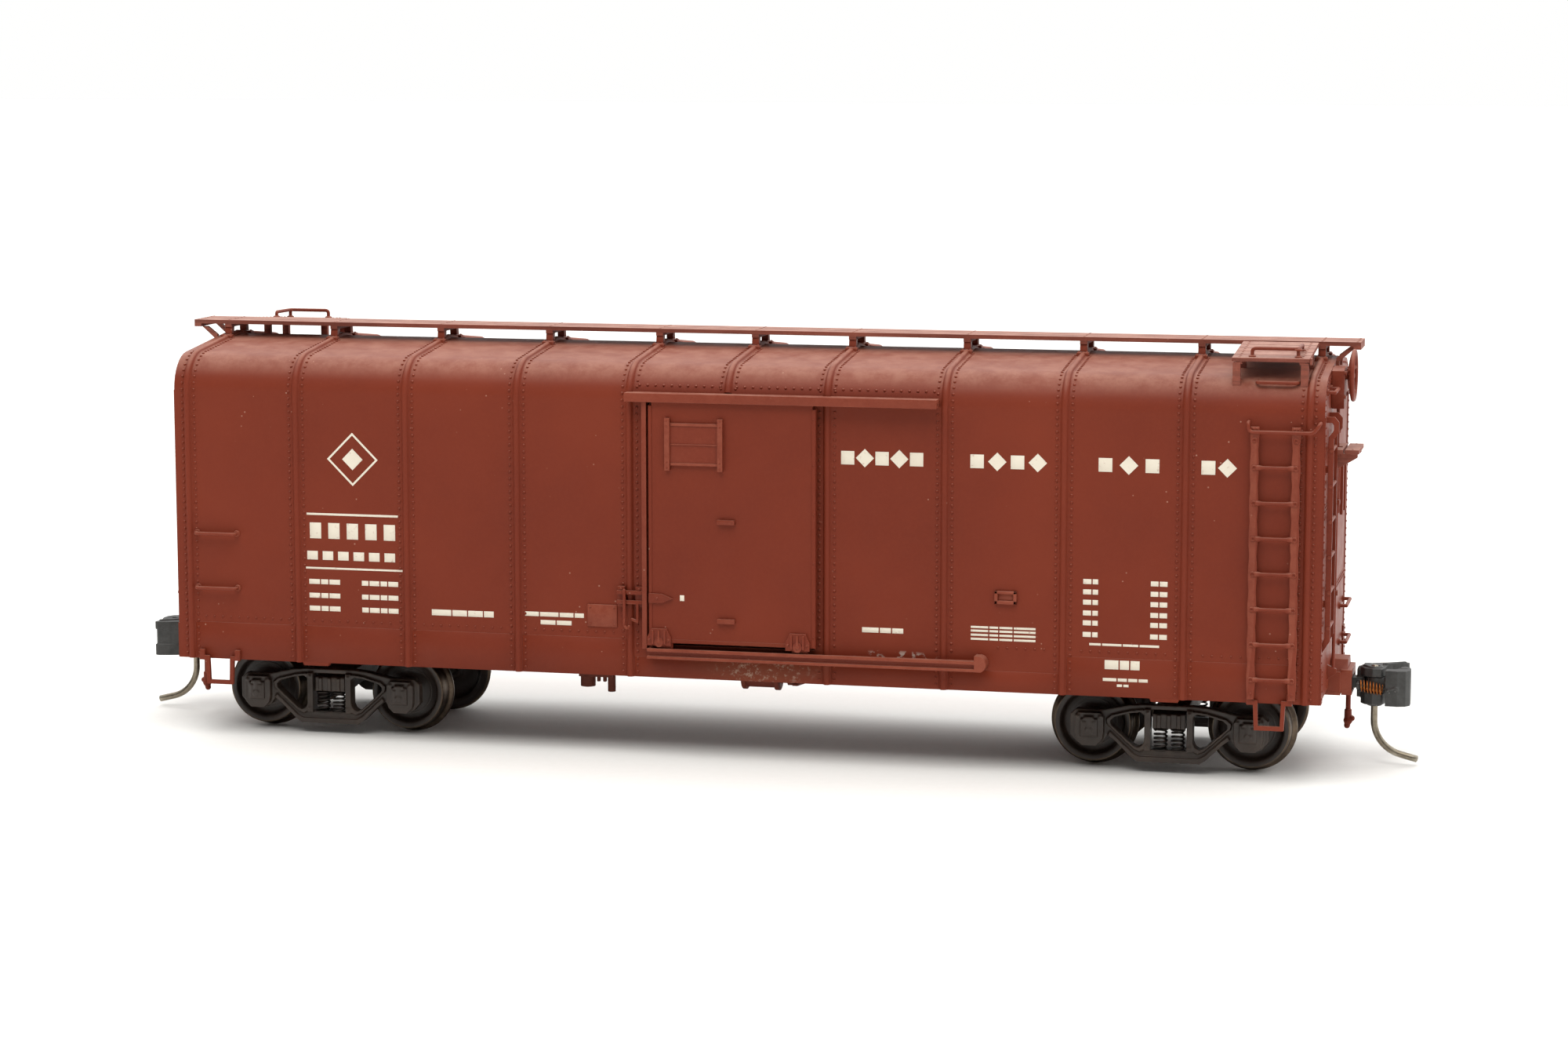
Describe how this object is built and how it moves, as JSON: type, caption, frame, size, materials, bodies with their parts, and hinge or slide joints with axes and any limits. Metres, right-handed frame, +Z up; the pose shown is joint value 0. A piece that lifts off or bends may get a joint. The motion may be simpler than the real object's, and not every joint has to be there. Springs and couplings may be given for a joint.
{
  "type": "model box car",
  "caption": "HO scale model box car with rounded eaves and ribbed sides, sliding doors, swivelling four-wheel trucks with turning wheelsets, and sprung knuckle couplers.",
  "frame": {"origin": "under the middle of the car, on the plane that the wheel flanges stand on", "axes": "+X along the car towards the brake end, +Y across the car, +Z up"},
  "size_m": [0.1658, 0.038, 0.0523],
  "materials": {
    "body_paint": "semi-matt oxide red paint over moulded plastic, lightly dusted",
    "walk_paint": "semi-matt oxide red paint on moulded planks",
    "underbody_plastic": "dark brown moulded plastic",
    "weight_steel": "plain rolled steel",
    "screw_steel": "blackened steel",
    "spring_bronze": "phosphor bronze",
    "truck_plastic": "matt brown-black moulded plastic",
    "truck_spring_steel": "blackened steel wire",
    "wheel_metal": "chemically blackened metal with bright treads",
    "coupler_metal": "dark grey cast metal",
    "trip_pin_steel": "drawn steel wire"
  },
  "bodies": {
    "car_body": {"body_shell": "body_paint", "end_panel_brake_end": "body_paint", "end_panel_plain_end": "body_paint", "floor_plate": "underbody_plastic", "underframe": "body_paint", "steel_weight": "weight_steel", "roof_walk": "walk_paint", "roof_walk_saddles": "body_paint", "lateral_walk_right": "walk_paint", "lateral_walk_left": "walk_paint", "roof_grab_irons": "body_paint", "side_ladders": "body_paint", "end_ladders": "body_paint", "side_grab_irons": "body_paint", "end_grab_irons": "body_paint", "stirrup_steps": "body_paint", "upper_door_tracks": "body_paint", "lower_door_tracks": "body_paint", "door_stops": "body_paint", "door_latches": "body_paint", "card_plates": "body_paint", "end_placard_boards": "body_paint", "brake_housing": "body_paint", "brake_platform": "body_paint", "brake_rod": "body_paint", "brake_cylinder": "underbody_plastic", "air_reservoir": "underbody_plastic", "control_valve": "underbody_plastic", "brake_levers": "underbody_plastic", "train_line": "underbody_plastic", "coupler_boxes": "body_paint", "coupler_box_lids": "body_paint", "box_lid_screws": "screw_steel", "truck_screws": "screw_steel", "air_hoses": "body_paint", "centring_springs": "spring_bronze"},
    "brake_wheel": {"brake_wheel": "body_paint"},
    "right_door": {"door_right": "body_paint", "door_right_fittings": "body_paint"},
    "left_door": {"door_left": "body_paint", "door_left_fittings": "body_paint"},
    "brake_end_truck": {"truck_brake_end_sideframes": "truck_plastic", "truck_brake_end_bolster": "truck_plastic", "truck_brake_end_springs": "truck_spring_steel"},
    "plain_end_truck": {"truck_plain_end_sideframes": "truck_plastic", "truck_plain_end_bolster": "truck_plastic", "truck_plain_end_springs": "truck_spring_steel"},
    "wheelset_1": {"wheelset_1": "wheel_metal"},
    "wheelset_2": {"wheelset_2": "wheel_metal"},
    "wheelset_3": {"wheelset_3": "wheel_metal"},
    "wheelset_4": {"wheelset_4": "wheel_metal"},
    "brake_end_coupler": {"coupler_brake_end": "coupler_metal", "knuckle_spring_brake_end": "spring_bronze"},
    "brake_end_knuckle": {"knuckle_brake_end": "coupler_metal", "trip_pin_brake_end": "trip_pin_steel"},
    "plain_end_coupler": {"coupler_plain_end": "coupler_metal", "knuckle_spring_plain_end": "spring_bronze"},
    "plain_end_knuckle": {"knuckle_plain_end": "coupler_metal", "trip_pin_plain_end": "trip_pin_steel"}
  },
  "joints": [
    {"name": "right_door_slide", "type": "slide", "parent": "car_body", "child": "right_door", "axis": [1, 0, 0], "range_m": [0, 0.0195]},
    {"name": "left_door_slide", "type": "slide", "parent": "car_body", "child": "left_door", "axis": [-1, 0, 0], "range_m": [0, 0.0195]},
    {"name": "brake_end_truck_swivel", "type": "hinge", "parent": "car_body", "child": "brake_end_truck", "pos_m": [0.0537, 0, 0.0084], "axis": [0, 0, 1], "range_deg": [-8, 8]},
    {"name": "plain_end_truck_swivel", "type": "hinge", "parent": "car_body", "child": "plain_end_truck", "pos_m": [-0.0537, 0, 0.0084], "axis": [0, 0, 1], "range_deg": [-8, 8]},
    {"name": "wheelset_1_spin", "type": "hinge", "parent": "plain_end_truck", "child": "wheelset_1", "pos_m": [-0.06333, 0, 0.00545], "axis": [0, 1, 0], "continuous": true},
    {"name": "wheelset_2_spin", "type": "hinge", "parent": "plain_end_truck", "child": "wheelset_2", "pos_m": [-0.04408, 0, 0.00545], "axis": [0, 1, 0], "continuous": true},
    {"name": "wheelset_3_spin", "type": "hinge", "parent": "brake_end_truck", "child": "wheelset_3", "pos_m": [0.04408, 0, 0.00545], "axis": [0, 1, 0], "continuous": true},
    {"name": "wheelset_4_spin", "type": "hinge", "parent": "brake_end_truck", "child": "wheelset_4", "pos_m": [0.06333, 0, 0.00545], "axis": [0, 1, 0], "continuous": true},
    {"name": "brake_end_coupler_swing", "type": "hinge", "parent": "car_body", "child": "brake_end_coupler", "pos_m": [0.067, 0, 0.0101], "axis": [0, 0, 1], "range_deg": [-12, 12], "stiffness_Nm_per_rad": 0.0008},
    {"name": "plain_end_coupler_swing", "type": "hinge", "parent": "car_body", "child": "plain_end_coupler", "pos_m": [-0.067, 0, 0.0101], "axis": [0, 0, 1], "range_deg": [-12, 12], "stiffness_Nm_per_rad": 0.0008},
    {"name": "brake_end_knuckle_open", "type": "hinge", "parent": "brake_end_coupler", "child": "brake_end_knuckle", "pos_m": [0.0774, -0.0009, 0.0101], "axis": [0, 0, 1], "range_deg": [-18, 0], "stiffness_Nm_per_rad": 0.0004, "springref_deg": 1.15},
    {"name": "plain_end_knuckle_open", "type": "hinge", "parent": "plain_end_coupler", "child": "plain_end_knuckle", "pos_m": [-0.0774, 0.0009, 0.0101], "axis": [0, 0, 1], "range_deg": [-18, 0], "stiffness_Nm_per_rad": 0.0004, "springref_deg": 1.15},
    {"name": "brake_wheel_turn", "type": "hinge", "parent": "car_body", "child": "brake_wheel", "pos_m": [0.0745, -0.0066, 0.0483], "axis": [1, 0, 0], "continuous": true}
  ]
}
